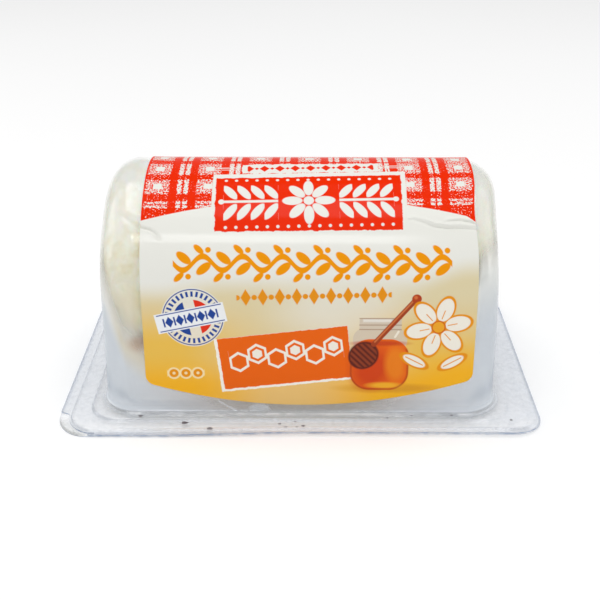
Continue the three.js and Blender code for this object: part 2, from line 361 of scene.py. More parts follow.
# The clear cover
def flange_rings(depth):
    """Rings from the flange's edge to the dome's foot; depth 0 is the outer face."""
    rings = [trimmed_rim(FLANGE_TOP - depth)]
    foot = plan_ring(SEAL_STEP, FLANGE_TOP - depth, STEP_FOOT)
    for share in (0.35, 0.7):
        rings.append(rings[0] * (1 - share) + foot * share)

    def climb(plan, low, rise):
        for share in np.linspace(0, 1, STEP_RINGS):
            z = low + rise * share * share * (3 - 2 * share) - depth
            rings.append(plan_ring(plan, z, STEP_FOOT - STEP_DRAFT * rise * share))

    climb(SEAL_STEP, FLANGE_TOP, SEAL_RISE)
    last = rings[-1]
    shelf = plan_ring(SHELF_STEP, SEAL_TOP - depth, STEP_FOOT)
    for share in (0.33, 0.67):
        rings.append(last * (1 - share) + shelf * share)
    climb(SHELF_STEP, SEAL_TOP, SHELF_RISE)
    for turn in np.linspace(0, QUARTER, FILLET_STEPS + 1):
        reach = FOOT_FILLET - (FOOT_FILLET + depth) * math.sin(turn)
        z = DOME_FOOT - (FOOT_FILLET + depth) * math.cos(turn)
        rings.append(plan_ring(DOME_PLAN, z, reach))
    return np.stack(rings)


def dome_grid(depth):
    """Points on the dome, rows from the front foot to the back foot, columns along x."""
    x, inset = stations(DOME_HALF_LENGTH - depth, EDGE_RADIUS - depth)
    sections = np.stack([dome_section(drawn + depth) for drawn in inset], axis=1)
    lean = 1 - END_LEAN * (sections[..., 1] - DOME_FOOT) / DOME_HALF_LENGTH
    return np.stack([x * lean, sections[..., 0], sections[..., 1]], axis=-1)


def end_wall(grid, column, shares):
    """Level rows across one end of the dome."""
    section = grid[:, column]
    half = len(section) // 2 + 1
    front, back = section[:half], section[::-1][:half]
    start, finish = (back, front) if column == 0 else (front, back)
    return start[:, None] * (1 - shares[:, None]) + finish[:, None] * shares[:, None]


def cover_faces(depth):
    grid = dome_grid(depth)
    ends = end_wall(grid, 0, LEFT_SHARES), end_wall(grid, -1, RIGHT_SHARES)
    return [flange_rings(depth), grid, *ends]


def make_cover(sheet, cut):
    skin = Skin()
    outer = cover_faces(0.0)
    inner = cover_faces(SHEET)
    shifts = [dented(face, 1) + flange_warp(face) for face in outer]
    for face, under, shift in zip(outer, inner, shifts):
        skin.patch(face + shift)
        skin.patch(under + shift, flip=True)
    rim = np.stack([inner[0][0] + shifts[0][0], outer[0][0] + shifts[0][0]])
    skin.patch(rim, finish=1)
    return skin.build("cover_sheet", [sheet, cut])


# The sealing film
def make_film(film, cut):
    insets = (0, 0.4, 0.9, 1.5, 2.2, 3, 4, 5, 5.9)
    x, drawn = stations(FLANGE[0] - insets[-1], FLANGE[2] - insets[-1])
    rows = LEFT_SHARES[::-1, None, None]
    skin = Skin()
    rims = []
    for z, flip in ((FILM, False), (0.0, True)):
        rings = np.stack([plan_ring(FLANGE, z, -inset) for inset in insets])
        rings += flange_warp(rings)
        front = np.stack([x, drawn - FLANGE[1] + insets[-1], np.full(len(x), z)], axis=1)
        fill = front * rows + front * (1, -1, 1) * (1 - rows)
        skin.patch(rings, flip=flip)
        skin.patch(fill + flange_warp(fill), flip=flip)
        rims.insert(0, rings[0])
    skin.patch(np.stack(rims), finish=1)
    return skin.build("film_sheet", [film, cut])


# The cheese
def curd_wave(x, angle):
    lumps = np.sin(0.31 * x + 3 * angle + 1.3) + np.sin(0.47 * x - 5 * angle + 0.4)
    creases = np.sin(0.9 * x + 7 * angle) * np.sin(0.23 * x - 2 * angle + 2.1)
    return (lumps + creases) / 3


def log_outline(angle):
    """x and share of the full section along the log at one angle round it."""

    def end(radii):
        top, foot = radii
        radius = top + (foot - top) * ((1 - math.sin(angle)) / 2) ** LOG_END_FALL
        flat = 1 - radius / LOG_HALF_DEPTH
        turn = np.linspace(0, QUARTER, LOG_TURN_COLUMNS)
        inward = np.concatenate([np.zeros(LOG_CAP_COLUMNS), radius * (1 - np.cos(turn))])
        rounded = flat + (1 - flat) * np.sin(turn)
        share = np.concatenate([np.linspace(0, flat, LOG_CAP_COLUMNS + 1)[:-1], rounded])
        return inward, share, radius

    left, left_share, left_radius = end(LOG_LEFT_END)
    right, right_share, right_radius = end(LOG_RIGHT_END)
    start, stop = left_radius - LOG_HALF_LENGTH, LOG_HALF_LENGTH - right_radius
    middle = np.linspace(start, stop, LOG_MIDDLE_COLUMNS)[1:-1]
    x = np.concatenate([left - LOG_HALF_LENGTH, middle, (LOG_HALF_LENGTH - right)[::-1]])
    return x, np.concatenate([left_share, np.ones(len(middle)), right_share[::-1]])


def make_log(curd):
    axis_height = FILM + SEAM + LOG_FOOT_DROP
    strips = []
    for angle in np.linspace(0, 2 * math.pi, LOG_SIDES + 1):
        x, share = log_outline(angle)
        swell = LOG_RELIEF * curd_wave(x, angle % (2 * math.pi))
        bulge = np.sign(x) * swell * 4 * share * (1 - share)
        y = (LOG_HALF_DEPTH + swell) * share * math.cos(angle)
        drop = (LOG_HALF_HEIGHT + swell) * share * math.sin(angle)
        z = axis_height + np.maximum(drop, -LOG_FOOT_DROP)
        strips.append(np.stack([x + bulge, y, z], axis=1))
    strips[-1] = strips[0]
    grid = np.stack(strips, axis=1)
    skin = Skin()
    skin.patch(grid + dented(grid, 1))
    piece = skin.build("curd_log", [curd], sharp=80)
    roughen(piece)
    return piece


def roughen(piece):
    """Fine crumb and shallow pits of fresh curd, kept off the flat underside."""
    mesh = piece.data
    normals = [vertex.normal.copy() for vertex in mesh.vertices]
    for vertex, normal in zip(mesh.vertices, normals):
        place = vertex.co / MM
        lumps = noise.noise(place * 0.28 + Vector((3.1, 0, 0)))
        fold_share = min(1.0, max(0.0, (place.x - 26) / 6))
        folds = fold_share * noise.noise(Vector((place.x * 0.5, place.y * 0.35, place.z * 0.1)))
        grains = noise.noise(place * 0.8) + 0.5 * noise.noise(place * 1.9)
        lift = CURD_LUMPS * lumps + CURD_GRAINS * grains + CURD_FOLDS * folds
        lift -= 0.1 + 0.1 * fold_share
        calm = min(1.0, max(0.0, (place.z - 0.4) / 3))
        vertex.co += normal * lift * calm * MM
    mesh.update()


# Dirt on the pack
SPECKS = (
    # x, y and radius of each dark speck that lies on the flange
    (-30.1, -23.8, 0.28), (-21.6, -25.4, 0.42), (-16.7, -27.4, 0.36), (-3.7, -25.8, 0.22),
    (0.7, -26.6, 0.26), (-0.8, -25.0, 0.14), (-2.5, -27.0, 0.16), (-0.5, -27.0, 0.15),
    (28.8, -23.2, 0.18), (40.0, -24.0, 0.2), (21.2, -23.4, 0.14), (16.6, -24.2, 0.14),
)


def make_specks(cover, dirt):
    """Small flattened grains that rest on the cover, as one mesh."""
    over = BVHTree.FromPolygons(
        [vertex.co / MM for vertex in cover.data.vertices],
        [list(polygon.vertices) for polygon in cover.data.polygons],
    )
    skin = Skin()
    turn = np.linspace(0, 2 * math.pi, 13)
    lean = np.linspace(0, math.pi, 7)[:, None]
    for k, (x, y, radius) in enumerate(SPECKS):
        place, _, _, _ = over.ray_cast(Vector((x, y, 10)), Vector((0, 0, -1)))
        wobble = 1 + 0.18 * np.sin(3 * turn + 1.7 * k) + 0.1 * np.sin(5 * turn + k)
        across = radius * np.sin(lean) * wobble
        ring_x = place.x + 1.5 * across * np.cos(turn)
        ring_y = place.y + across * np.sin(turn)
        rise = np.broadcast_to(place.z + 0.05 + 0.06 * np.cos(lean), across.shape)
        grain = np.stack([ring_x, ring_y, rise], axis=-1)
        grain[:, -1] = grain[:, 0]
        grain[0], grain[-1] = grain[0].mean(axis=0), grain[-1].mean(axis=0)
        skin.patch(grain, flip=True)
    return skin.build("flange_specks", [dirt], sharp=80)


def dirt_finish():
    """Grey-brown grime."""
    graph = Graph("grime", (88, 82, 88))
    vector, _ = graph.place()
    graph.lay(ramp(graph.noise(vector, 3.0, 2), 0.35, 0.65), (132, 126, 130))
    return graph.finish(0.7)


# The label
def label_hem(x):
    bow = LABEL_HEM + (x - LABEL_HEM_MIDDLE) ** 2 / (2 * LABEL_HEM_RADIUS)
    past = np.maximum(0, np.abs(x) - (LABEL_HALF_WIDTH - LABEL_CORNER))
    return bow + LABEL_CORNER - np.sqrt(np.maximum(0, LABEL_CORNER**2 - past**2))


def make_label(paper):
    straight = LABEL_HALF_WIDTH - LABEL_CORNER
    past = LABEL_CORNER * np.sin(np.linspace(0, QUARTER, 13)[1:])
    middle = np.linspace(-straight, straight, LABEL_COLUMNS)
    x = np.concatenate([-straight - past[::-1], middle, straight + past])
    hem = label_hem(x)
    # The rows are closer where the creases run
    zones = ((0, 0.29, 60), (0.29, 0.38, 90), (0.38, 1, 82))
    rows = [np.linspace(*zone)[1 if k else 0 :] for k, zone in enumerate(zones)]
    share = np.concatenate(rows)[:, None]
    run = hem + (SECTION_RUN - 2 * hem) * share
    place = np.broadcast_to(x + LABEL_OFFSET, run.shape)
    edge_share = np.clip((x - 12) / (LABEL_HALF_WIDTH - 12), 0, 1) ** 2
    tucked = place - TUCK_DRAW * edge_share * np.exp(-(((run - TUCK_RUN) / TUCK_SPREAD) ** 2))

    def lifted(lift):
        y, z = over_dome(run, lift)
        return np.stack([tucked, y, z], axis=-1)

    shift = dented(lifted(0.0))
    under = lifted(SEAM) + shift
    over = lifted(SEAM + LABEL_THICKNESS) + shift
    u_share = (place - LABEL_OFFSET) / (2 * LABEL_HALF_WIDTH) + 0.5
    v_share = run / SECTION_RUN

    def chart(low, width):
        return np.stack([place, run, low + width * u_share, 0.001 + 0.998 * v_share], axis=-1)

    front, back = chart(0.002, 0.592), chart(0.61, 0.35)
    skin = Skin()
    skin.patch(over, front)
    skin.patch(under, back, finish=1, flip=True)
    edge = chart(0.975, 0.01)
    for low, high, row in (
        (under[0], over[0], edge[0]),
        (over[-1], under[-1], edge[-1]),
        (over[:, 0], under[:, 0], edge[:, 0]),
        (under[:, -1], over[:, -1], edge[:, -1]),
    ):
        skin.patch(np.stack([low, high]), np.stack([row, row + (0, 0, 0.004, 0)]), finish=1)
    return skin.build("printed_label", paper, ("print_mm", "OFBake"))


# Node graphs
def operator(operation, swapped=False):
    """One of the operators of Field, as a Math node."""

    def apply(self, other):
        return self.graph.math(operation, *((other, self) if swapped else (self, other)))

    return apply


class Field:
    """A number that varies over a surface, with arithmetic."""

    def __init__(self, graph, socket):
        self.graph = graph
        self.socket = socket

    def math(self, operation, *others):
        return self.graph.math(operation, self, *others)

    def __abs__(self):
        return self.math("ABSOLUTE")

    __add__ = __radd__ = operator("ADD")
    __sub__ = operator("SUBTRACT")
    __rsub__ = operator("SUBTRACT", swapped=True)
    __mul__ = __rmul__ = operator("MULTIPLY")
    __truediv__ = operator("DIVIDE")


def both(a, b):
    return a.math("MAXIMUM", b)


def either(a, b):
    return a.math("MINIMUM", b)


def hypot(a, b):
    return (a * a + b * b).math("SQRT")


def ramp(value, start, stop, low=0.0, high=1.0, smooth=True):
    kind = "SMOOTHSTEP" if smooth else "LINEAR"
    values = (value, start, stop, low, high)
    made = value.graph.node("MapRange", *values, interpolation_type=kind, clamp=True)
    return Field(value.graph, made.outputs[0])


# Distances from simple shapes about a centre, negative inside
def box(x, y, half_x, half_y, corner=0.0):
    past_x = both(abs(x) - (half_x - corner), 0.0)
    past_y = both(abs(y) - (half_y - corner), 0.0)
    return hypot(past_x, past_y) - corner


def square(x, y, half_x, half_y):
    return both(abs(x) - half_x, abs(y) - half_y)


def diamond(x, y, half_x, half_y):
    return (abs(x) / half_x + abs(y) / half_y - 1.0) * (0.7 * min(half_x, half_y))


def disc(x, y, radius):
    return hypot(x, y) - radius


def oval(x, y, half_x, half_y):
    return (hypot(x / half_x, y / half_y) - 1.0) * min(half_x, half_y)


def inside(distance, soft=0.12):
    """Coverage from a distance."""
    return ramp(distance, soft / 2, -soft / 2, smooth=False)


# Coordinates that repeat
def nearest(value, period):
    """Distance from the nearest of evenly spaced lines, one of them at 0."""
    return value.math("PINGPONG", period / 2)


def cell(value, period):
    """Position within a repeated cell, about its middle, and whether the cell is an odd one."""
    odd = (value / period).math("FLOOR").math("FLOORED_MODULO", 2.0)
    return value.math("FLOORED_MODULO", period) - period / 2, odd


def petals(x, y, count):
    """Coordinates of the nearest of evenly turned petals: out along it, and aside."""
    reach = hypot(x, y)
    angle = nearest(y.math("ARCTAN2", x), 2 * math.pi / count)
    return reach * angle.math("COSINE"), reach * angle.math("SINE")


def srgb(red, green, blue):
    """A linear colour from screen values, 0 to 255."""

    def linear(value):
        value /= 255
        return value / 12.92 if value <= 0.04045 else ((value + 0.055) / 1.055) ** 2.4

    return (linear(red), linear(green), linear(blue), 1.0)


class Graph:
    """Builds a material from expressions; a colour of three numbers is in screen values."""

    def __init__(self, name, colour):
        self.material = bpy.data.materials.new(name)
        self.material.use_nodes = True
        self.tree = self.material.node_tree
        self.tree.nodes.clear()
        self.colour = colour
        self.haze = None

    def node(self, kind, *values, **settings):
        made = self.tree.nodes.new("ShaderNode" + kind)
        for key, value in settings.items():
            setattr(made, key, value)
        for socket, value in zip(made.inputs, values):
            self.feed(socket, value)
        return made

    def feed(self, socket, value):
        if isinstance(value, Field):
            value = value.socket
        if isinstance(value, bpy.types.NodeSocket):
            self.tree.links.new(value, socket)
        elif isinstance(value, tuple) and len(value) == 3:
            socket.default_value = srgb(*value)
        else:
            socket.default_value = value

    def fill(self, made, **sockets):
        """Feeds a node's sockets by name, with _ for each space."""
        for key, value in sockets.items():
            self.feed(made.inputs[key.replace("_", " ")], value)
        return made

    def math(self, operation, *values):
        return Field(self, self.node("Math", *values, operation=operation).outputs[0])

    def noise(self, vector, scale, detail=2.0, roughness=0.5, distortion=0.0):
        shape = {"Scale": scale, "Detail": detail, "Roughness": roughness, "Distortion": distortion}
        made = self.fill(self.node("TexNoise", vector), **shape)
        return Field(self, made.outputs["Fac"])

    def split(self, vector):
        return [Field(self, socket) for socket in self.node("SeparateXYZ", vector).outputs]

    def place(self):
        """The surface point in millimetres, as a vector and as its x, y and z."""
        point = self.node("TexCoord").outputs["Object"]
        scaled = self.fill(self.node("VectorMath", point, operation="SCALE"), Scale=1 / MM)
        return scaled.outputs[0], self.split(scaled.outputs[0])

    def facing(self):
        """How far the surface faces along x, y and z, each 0 to 1."""
        normal = self.node("NewGeometry").outputs["Normal"]
        return [abs(share) for share in self.split(normal)]

    def bump(self, height, strength, distance):
        sockets = {"Strength": strength, "Distance": distance * MM, "Height": height}
        return self.fill(self.node("Bump"), **sockets).outputs["Normal"]

    def mix(self, share, under, over):
        made = self.node("Mix", share, data_type="RGBA")
        self.feed(made.inputs[6], under)
        self.feed(made.inputs[7], over)
        return made.outputs[2]

    def lay(self, share, colour, strength=1.0):
        """Lays a colour over the one so far, where share is 1."""
        if strength != 1.0:
            share = share * strength
        self.colour = self.mix(share, self.colour, colour)

    def veil(self, share, haze, colour=None, strength=1.0):
        """Adds haze and lays a colour, where share is 1."""
        self.haze = self.haze + haze * share
        if colour is not None:
            self.lay(share, colour, strength)

    def finish(self, roughness, **sockets):
        """The material. Haze 1 hides all that is behind, and with no haze it isn't clear."""
        sockets.update(Base_Color=self.colour, Roughness=roughness)
        shader = self.fill(self.node("BsdfPrincipled"), **sockets)
        if self.haze is not None:
            clear = self.node("BsdfTransparent").outputs[0]
            shader = self.node("MixShader", self.haze, clear, shader.outputs[0])
        self.node("OutputMaterial", shader.outputs[0])
        return self.material


# Finishes
def sheet_finish():
    """Clear formed sheet: smeared with curd at its ends, bluer low down, pale on the flange."""
    graph = Graph("clear_sheet", (225, 228, 228))
    veil = graph.veil
    vector, (x, y, z) = graph.place()
    away = abs(x)
    cloud = graph.noise(vector, 0.16, 3)
    mottle = graph.noise(vector, 0.9, 3, 0.6)
    # Below the cheese the sheet is hazed, from higher up at the right end, and darker and bluer
    # towards the bottom
    past = 0.9 * both(-29.0 - x, 0.0) + 1.5 * both(-32.5 - x, 0.0)
    wave = 9.0 * (cloud - 0.5) * ramp(away, 35.5, 37)
    level_left = z - past + wave
    level_right = z - ramp(x, 31.5, 33.3, 0.0, 7.2) + wave
    right_half = ramp(x, -5, 5)

    def by_half(left, right):
        return left + right_half * (right - left)

    low = by_half(ramp(level_left, 18.5, 10), ramp(level_right, 28, 21.5))
    blue = by_half(ramp(level_left, 12.5, 6), ramp(level_right, 24, 11))
    sides = ramp(away, 6, 33)
    graph.haze = 0.03 + (0.1 + 0.57 * sides) * low + 0.03 * ramp(cloud, 0.4, 0.65)
    gap = ramp(abs(x - 33.2), 2.2, 0.8) * ramp(abs(z - 30.3), 2.6, 1.0)
    veil(ramp(x, 31, 33) * low * (1.0 - blue), 0.08 + 0.14 * gap)
    graph.lay(low, (238, 227, 221))
    upper = graph.mix(ramp(x, -33, -35.5), (220, 210, 180), (244, 244, 238))
    upper = graph.mix(right_half, upper, (238, 240, 234))
    graph.lay(low * sides, graph.mix(blue, upper, (209, 218, 228)))
    # Curd smeared on the ends
    smear = ramp(away, 28.5, 31.5) * (1.0 - low)
    top = ramp(z, 40.5, 42.5)
    veil(smear, 0.1 + 0.14 * ramp(away, 33, 37) + 0.12 * top, (246, 246, 236))
    veil(ramp(x, -28.5, -31.5) * ramp(z, 30, 25) * (1.0 - low), 0.14)
    side, _, level = graph.facing()
    veil(ramp(side, 0.8, 0.98) * smear, 0.1, (240, 241, 233))
    graph.lay(top * smear, (238, 240, 236))
    front = ramp(y, -15, -18)
    stain = hypot((x + 29.8) / 2.7, (z - 15.3) / 2.2)
    veil(ramp(stain, 1.2, 0.2) * front, 0.2, (176, 142, 102))
    # The lowest part of the walls is painted lighter, as painted light; a frosted patch and a
    # curved scratch
    veil(ramp(z, 5, 2) * ramp(away, 12, 32, 0.25, 1.0), 0.2, (228, 233, 238), 0.7)
    patch = hypot((x + 7.6) / 2.2, z - 2.2) + 1.6 * (mottle - 0.5)
    patch = ramp(patch, 1.1, 0.5) * front
    along = (x + 15.5) / 3.8
    scratch = ramp(abs(z - 3.7 + 2.2 * along + 0.9 * along * (1.0 - along)), 0.16, 0.05)
    scratch = scratch * ramp(abs(along - 0.5), 0.5, 0.4) * front
    veil(patch, 0.22)
    veil(scratch, 0.35)
    graph.lay(both(patch, scratch), (236, 240, 246))
    # The flange, with a bead along its front
    flange = ramp(z, 1.7, 1.35)
    right = ramp(x, 14, 42)
    milky = 0.1 + 0.06 * ramp(mottle, 0.4, 0.68) + 0.03 * right
    veil(flange, milky - 0.05 * ramp(z, 1.0, 1.25) - graph.haze, (228, 236, 248))
    hem = box(x, y, *FLANGE)
    bead = ramp(abs(hem + ramp(x, -22, -8, 1.05, 1.4)), 0.5, 0.15)
    veil(bead * ramp(y, -25, -26) * ramp(x, -36, -26), 0.26, (176, 182, 194), 0.7)
    veil(ramp(hem, -4.0, -2.8) * ramp(hem, -1.4, -1.8) * ramp(y, -22, -24), -0.05)
    # At the dome's foot the fillet and the ledge beside it are painted lighter over the shade seen
    # through them, and a painted glint runs in dashes along the fillet's outer end
    foot = box(x, y, *(size + FOOT_FILLET for size in DOME_PLAN))
    straight = ramp(away, 34, 31) * front
    fillet = ramp(z, 1.9, 1.6) * ramp(foot, 0.1, -0.1) * straight
    veil(fillet, 0.08 + 0.2 * ramp(away, 4, 26), (212, 216, 224))
    painted_ledge_light = ramp(foot, 0.0, 0.2) * ramp(foot, 1.4, 0.9) * straight
    veil(painted_ledge_light, ramp(away, 8, 20, 0.04, 0.2), (238, 242, 248))
    dash = ramp(graph.noise(vector, 0.22, 2), 0.44, 0.56)
    middle = ramp(abs(x - 3.0), 24, 8)
    corners = ramp(abs(away - 31.4), 1.8, 0.7)
    # A painted highlight along the fillet's outer end, strongest in the middle and at the corners
    painted_glint = ramp(abs(foot + 0.1), 0.45, 0.15) * ramp(z, 1.8, 1.5)
    painted_glint = painted_glint * (0.2 + 0.45 * middle + 0.3 * dash + 0.5 * corners)
    veil(painted_glint, 0.65, (250, 251, 252))
    # The steps are painted darker and bluer on their slopes, as painted shade, less at the right;
    # the rim gathers the sheet's tint
    painted_step_shade = ramp(level, 0.985, 0.8) * ramp(z, 1.6, 1.35) * (1.0 - 0.85 * right)
    veil(painted_step_shade * ramp(foot, 0.1, 0.5), 0.24, (176, 184, 198))
    veil(ramp(hem, -0.55, -0.05), 0.2, (182, 194, 214))
    ripple = graph.noise(vector, 0.5, 2)
    normal = graph.bump(ripple * (1.0 - 0.78 * flange), 0.3, 0.14)
    rough = ramp(mottle, 0.35, 0.7, 0.07, 0.2)
    gloss = 0.8 - 0.6 * ramp(z, 2.6, 2.2) * ramp(foot, 0.05, -0.05)
    return graph.finish(rough, Normal=normal, IOR=2.4, Specular_IOR_Level=gloss)


def film_finish():
    """Clear sealing film, faintly milky, with a greyer rough patch at the peel corner."""
    graph = Graph("seal_film", (214, 216, 220))
    vector, (x, y, _) = graph.place()
    mottle = graph.noise(vector, 0.8, 3, 0.6)
    knurl = graph.noise(vector, 2.4, 2, 0.6)
    worn = ramp(hypot(x + 47.5, y + 30.5), 9.0, 6.0)
    graph.haze = 0.03 + 0.05 * ramp(mottle, 0.4, 0.7) + worn * (0.5 * knurl - 0.05)
    graph.lay(worn, (234, 236, 236))
    edge = ramp(box(x, y, *FLANGE), -0.6, -0.1) * worn
    graph.veil(edge, 0.14, (196, 198, 198))
    return graph.finish(0.22, Normal=graph.bump(knurl, 0.5, 0.15), IOR=1.9)


def cut_finish(name, colour, share):
    """The cut edge of a clear sheet, which gathers its tint."""
    graph = Graph(name, colour)
    vector, _ = graph.place()
    streak = graph.noise(vector, 0.7, 2)
    graph.lay(ramp(streak, 0.35, 0.65), (178, 190, 208))
    graph.haze = ramp(streak, 0.3, 0.7, share, share - 0.35)
    return graph.finish(0.2, IOR=1.6)


def curd_finish():
    """Moist fresh curd: white on top, creamier and darker low down (in part painted shade), with
    clouds, streaks and a brown spot.
    """
    graph = Graph("fresh_curd", (252, 252, 246))
    lay = graph.lay
    vector, (x, y, z) = graph.place()
    upright = graph.node("CombineXYZ", x, y, z * ramp(x, 20, 28, 1.0, 0.3)).outputs[0]
    blotch = graph.noise(upright, 0.2, 3, 0.55, 0.6)
    crumb = graph.noise(vector, 1.1, 4, 0.6)
    left = ramp(x, 30, 15, 0.4, 1.0)
    # Creamier and darker lower down: in part whey-soaked curd, in part painted shade
    lay(ramp(z, 43, 30), (246, 245, 230))
    lay(ramp(z, 33, 24) * left, (232, 225, 188))
    lay(ramp(blotch, 0.44, 0.62) * ramp(z, 40, 26, 0.3, 0.85) * left, (228, 216, 170))
    lay(ramp(blotch, 0.47, 0.32) * 0.6, (250, 250, 246))
    front = ramp(y, -6, -10)
    brown = hypot((x + 29.4) / 2.3, (z - 14.5) / 1.9)
    lay(ramp(brown, 1.2, 0.2) * front, (166, 108, 66))
    fleck = hypot(x * 0.8 + z * 0.25 + 21.6, z * 0.35 - x * 0.1 - 10.9)
    lay(ramp(fleck, 0.55, 0.2) * front, (208, 190, 134))
    rough = ramp(crumb, 0.3, 0.7, 0.42, 0.62)
    moist = {"Subsurface_Weight": 0.35, "Subsurface_Scale": 0.002, "Specular_IOR_Level": 0.3}
    return graph.finish(rough, Normal=graph.bump(crumb, 0.5, 0.3), IOR=1.4, **moist)


# The label's print
WHITE = (235, 235, 228)
PALE_GOLD = (224, 211, 171)
WARM_GOLD = (236, 191, 82)
DEEP_GOLD = (247, 181, 30)
RED = (237, 44, 0)
TITLE_GOLD = (242, 152, 0)
LINE_GOLD = (232, 146, 10)
CREAM = (244, 239, 226)
ORANGE = (236, 100, 0)
BLUE = (30, 68, 150)
RING_PALE = (250, 226, 172)


class Print(Graph):
    """The label's print, laid out in millimetres: x along the pack, v up from the front foot."""

    def __init__(self, name):
        super().__init__(name, WHITE)
        self.chart = self.node("UVMap", uv_map="print_mm").outputs[0]
        self.x, self.v, _ = self.split(self.chart)

    def paint(self, colour, *distances, share=1.0, soft=0.12):
        """Lays a colour over the print where every distance is negative."""
        distance = distances[0]
        for other in distances[1:]:
            distance = both(distance, other)
        self.lay(inside(distance, soft), colour, share)

    def local(self, centre, degrees=0.0, x=None, v=None):
        """Coordinates about a centre, turned by an angle."""
        cos, sin = math.cos(math.radians(degrees)), math.sin(math.radians(degrees))
        dx = (self.x if x is None else x) - centre[0]
        dv = (self.v if v is None else v) - centre[1]
        if degrees == 0.0:
            return dx, dv
        return dx * cos + dv * sin, dv * cos - dx * sin

    def capsule(self, start, stop, radius):
        """Distance from a round-ended stroke."""
        dx, dv = stop[0] - start[0], stop[1] - start[1]
        length = math.hypot(dx, dv)
        along, aside = self.local(start, math.degrees(math.atan2(dv, dx)))
        past = along - either(both(along, 0.0), length)
        return hypot(past, aside) - radius


def label_print():
    """Check band, red panel, ornaments, roundel, sign, honey pot and blossom on white and gold."""
    ink = Print("label_print")
    near = either(ink.v, SECTION_RUN - ink.v)
    paint_gold(ink, near)
    banded = paint_check(ink, near)
    for painter in (
        paint_panel, paint_borders, paint_roundel, paint_sign, paint_pot, paint_blossom, paint_back,
    ):
        painter(ink, ink.paint)
    grain = ink.noise(ink.chart, 3.5, 3, 0.6)
    broad = ink.noise(ink.chart, 0.25, 2)
    normal = ink.bump(grain + 3.0 * broad, 0.1, 0.04)
    rough = ramp(grain, 0.3, 0.7, 0.08, 0.13)
    gloss = 0.18 - 0.15 * banded  # the red ink is duller than the bare stock
    return ink.finish(rough, Normal=normal, IOR=1.45, Specular_IOR_Level=gloss)


def paint_gold(ink, near):
    """White running down through cream to gold, sooner at the right, deepest in the low corners."""
    x = ink.x
    left = ramp(x, -14, -26)
    right = ramp(x, 20, 31)
    pool = ramp(hypot((x - 8) / 1.8, near - 20), 10, 2)
    pale = ramp(near + 1.7 * left - 3.2 * right, 27.5, 22.5) * (1.0 - 0.65 * pool)
    ink.lay(pale, PALE_GOLD)
    sides = ramp(abs(x - 1), 4, 24, 0.15, 1.0)
    held = 1.0 - 0.35 * right * ramp(near, 9, 17)
    ink.lay(ramp(near, 24, 13) * sides * held, WARM_GOLD)
    sides = ramp(abs(x + 3), 2, 20, 0.5, 1.0)
    ink.lay(ramp(near - 3.0 * right, 12, 4) * sides, DEEP_GOLD)


def paint_check(ink, near):
    """Red and white check over the top, with the speckle of a block print and a curved rim."""
    period = 9.37
    x = ink.x
    tilted = near - 0.0165 * (x - 2)
    top = 53.05
    row = top - abs(tilted - top)
    across = nearest(x + 26.4 + 10 * period, period)
    aside = abs(across - period / 2)
    block = inside(across - 2.17, 0.3)
    line = inside(both(aside - 1.05, 0.17 - aside), 0.2)
    tall = inside(abs(row - 50.1) - 2.15, 0.3)
    low = inside(abs(row - 44.6) - 1.85, 0.3)
    off_thin = abs(row - 40.33)
    thin = inside(both(off_thin - 0.72, 0.1 - off_thin), 0.2)
    columns = block + 1.5 * line
    rows = tall + low + 1.2 * thin
    share = 0.12 * columns + 0.06 * rows + 0.3 * columns * rows
    speckle = ink.noise(ink.chart, 3.2, 1, 0.6)
    cover = ramp(speckle - 0.42 * (share - 0.5), 0.47, 0.53, 1.0, 0.0, smooth=False)
    cover = cover * ramp(share, 0.02, 0.12)
    hearts = either(abs(row - 50.1) - 0.85, abs(row - 44.6) - 0.68)
    cover = both(cover, inside(both(across - 0.8, hearts)))
    rim = 41.2 - 0.0045 * (x - 3) * (x - 3) - 0.75 * ramp(x, 30.6, 32.4)
    banded = inside(rim - near)
    ink.lay(banded, ink.mix(cover, RED, WHITE))
    return banded


def paint_panel(ink, paint):
    """Red panel with a rough edge and a white margin, a flower between two sprigs on it."""
    x, v = ink.x, ink.v
    fray = 0.8 * (ink.noise(ink.chart, 0.8, 2) - 0.5)
    ceiling = 46.45 + 0.0362 * (x + 15.8)
    floor = 34.6 + 0.0135 * (x + 15.4)
    paint(WHITE, abs(x - 1.7) - 17.9, 33.0 - v, v - ceiling - 1.2)
    paint(RED, abs(x - 1.6) - 17.1 + fray, floor - v + fray, v - ceiling + fray)
    dx, dv = ink.local((1.6, 40.95), 1.4)
    out, aside = petals(dx, dv, 8)
    paint(WHITE, oval(out - 3.0, aside, 1.85, 0.93))
    paint(WHITE, disc(dx, dv, 0.95))
    away = abs(dx)
    span = abs(away - 10.6) - 5.0
    paint(WHITE, abs(dv) - 0.27, span)
    within, _ = cell(away - 5.6, 2.5)
    leaf = oval(*ink.local((0.05, 2.15), 52, within, abs(dv)), 2.0, 0.78)
    paint(WHITE, leaf, span)
    paint(WHITE, disc(away - 16.0, dv, 0.55))
    bead = disc(nearest(dx, 1.9), abs(dv) - 5.2, 0.3)
    paint(WHITE, bead, away - 15.9)
    # Ribbon over the panel
    dx, dv = ink.local((1.93, 50.2), 2.0)
    paint(WHITE, square(dx, dv, 12.9, 1.75) + 1.5 * fray)
    for shift, half_x, half_v in ((0.0, 0.95, 1.2), (1.45, 0.42, 0.5)):
        lozenge = diamond(nearest(dx + shift, 2.9), dv, half_x, half_v)
        paint(RED, lozenge, abs(dx) - 11.9)
    paint(WHITE, square(abs(dx) - 15.5, dv - 0.4, 1.9, 0.16))
    paint(WHITE, square(abs(dx) - 15.0, dv + 0.35, 1.8, 0.13), share=0.8)


